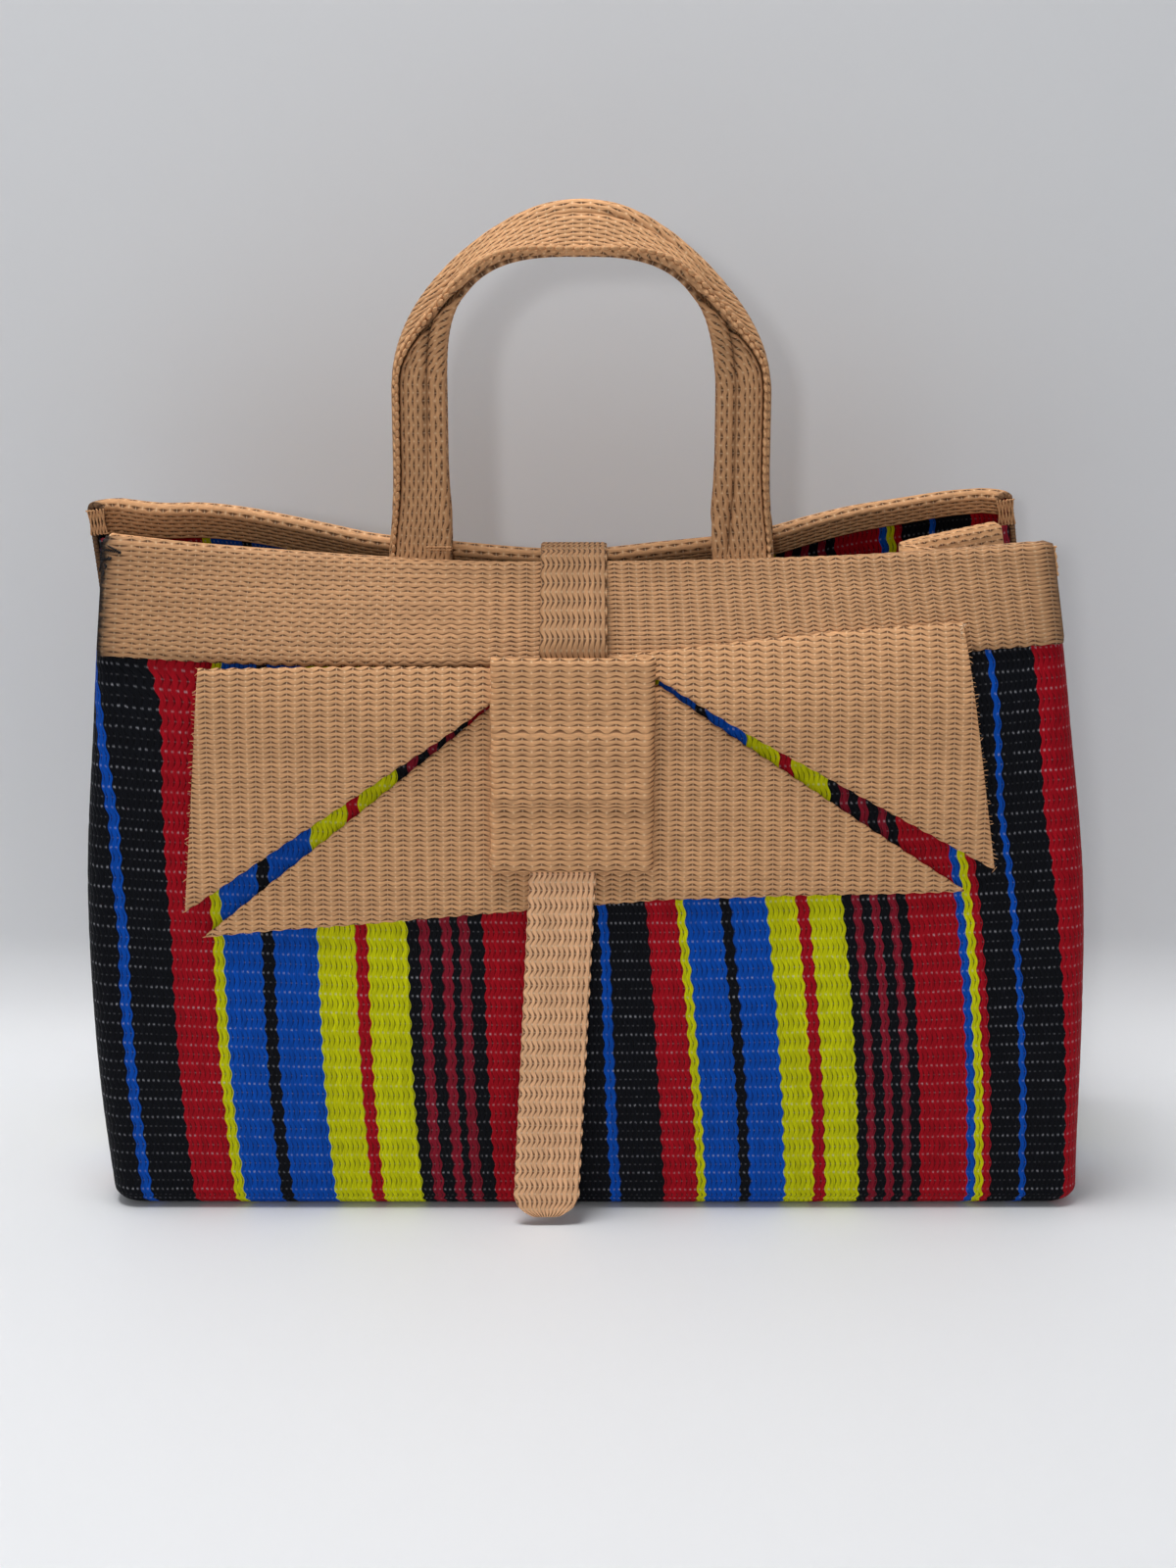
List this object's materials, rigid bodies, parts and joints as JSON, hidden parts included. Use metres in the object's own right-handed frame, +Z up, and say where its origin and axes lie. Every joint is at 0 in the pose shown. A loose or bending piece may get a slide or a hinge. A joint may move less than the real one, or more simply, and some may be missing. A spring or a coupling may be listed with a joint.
{
  "type": "woven tote bag",
  "caption": "Soft tote bag of striped woven fabric with folded gussets, tan webbing rim bands, rolled carry handles, a flat webbing bow with a pleated knot and a closure strap",
  "frame": {"origin": "centre of the base panel's underside, on the surface that the bag stands on", "axes": "X across the bag's width to its left-hand side as the bag is worn facing forward, that is to the right in a view of the front; Y from front to back, the bow is on -Y; Z up"},
  "size_m": [0.3868, 0.1279, 0.3835],
  "materials": {
    "striped_fabric": "coarse hand-loom weave, lengthwise stripes of black, blue, acid yellow, red and maroon",
    "tan_webbing": "matt ribbed jute-coloured webbing",
    "light_tan_webbing": "matt ribbed webbing, a shade lighter"
  },
  "bodies": {
    "base": {"base_panel": "striped_fabric", "left_gusset": "striped_fabric", "right_gusset": "striped_fabric", "left_gusset_band": "tan_webbing", "right_gusset_band": "tan_webbing"},
    "front_side": {"front_panel": "striped_fabric", "front_band": "tan_webbing", "front_handle_left_end": "tan_webbing", "front_handle_right_end": "tan_webbing", "bow_upper_ribbon": "tan_webbing", "bow_lower_ribbon": "tan_webbing", "bow_knot": "tan_webbing", "closure_strap_front": "tan_webbing"},
    "back_side": {"back_panel": "striped_fabric", "back_band": "tan_webbing", "back_handle_left_end": "tan_webbing", "back_handle_right_end": "tan_webbing", "closure_strap_anchor": "tan_webbing"},
    "front_handle": {"front_handle": "tan_webbing"},
    "back_handle": {"back_handle": "tan_webbing"},
    "strap_tail": {"closure_strap_tail": "light_tan_webbing"}
  },
  "joints": [
    {"name": "front_side_opens", "type": "hinge", "parent": "base", "child": "front_side", "pos_m": [0, -0.055, 0.001], "axis": [1, 0, 0], "range_deg": [0, 8]},
    {"name": "back_side_opens", "type": "hinge", "parent": "base", "child": "back_side", "pos_m": [0, 0.055, 0.001], "axis": [-1, 0, 0], "range_deg": [0, 8]},
    {"name": "front_handle_swing", "type": "hinge", "parent": "front_side", "child": "front_handle", "pos_m": [-0.0025, -0.00379, 0.26152], "axis": [1, 0, 0], "range_deg": [0, 105]},
    {"name": "back_handle_swing", "type": "hinge", "parent": "back_side", "child": "back_handle", "pos_m": [-0.0025, 0.00113, 0.2636], "axis": [-1, 0, 0], "range_deg": [0, 105]},
    {"name": "closure_strap_slide", "type": "slide", "parent": "front_side", "child": "strap_tail", "axis": [0.0504, 0.1045, 0.9932], "range_m": [0, 0.09]}
  ]
}
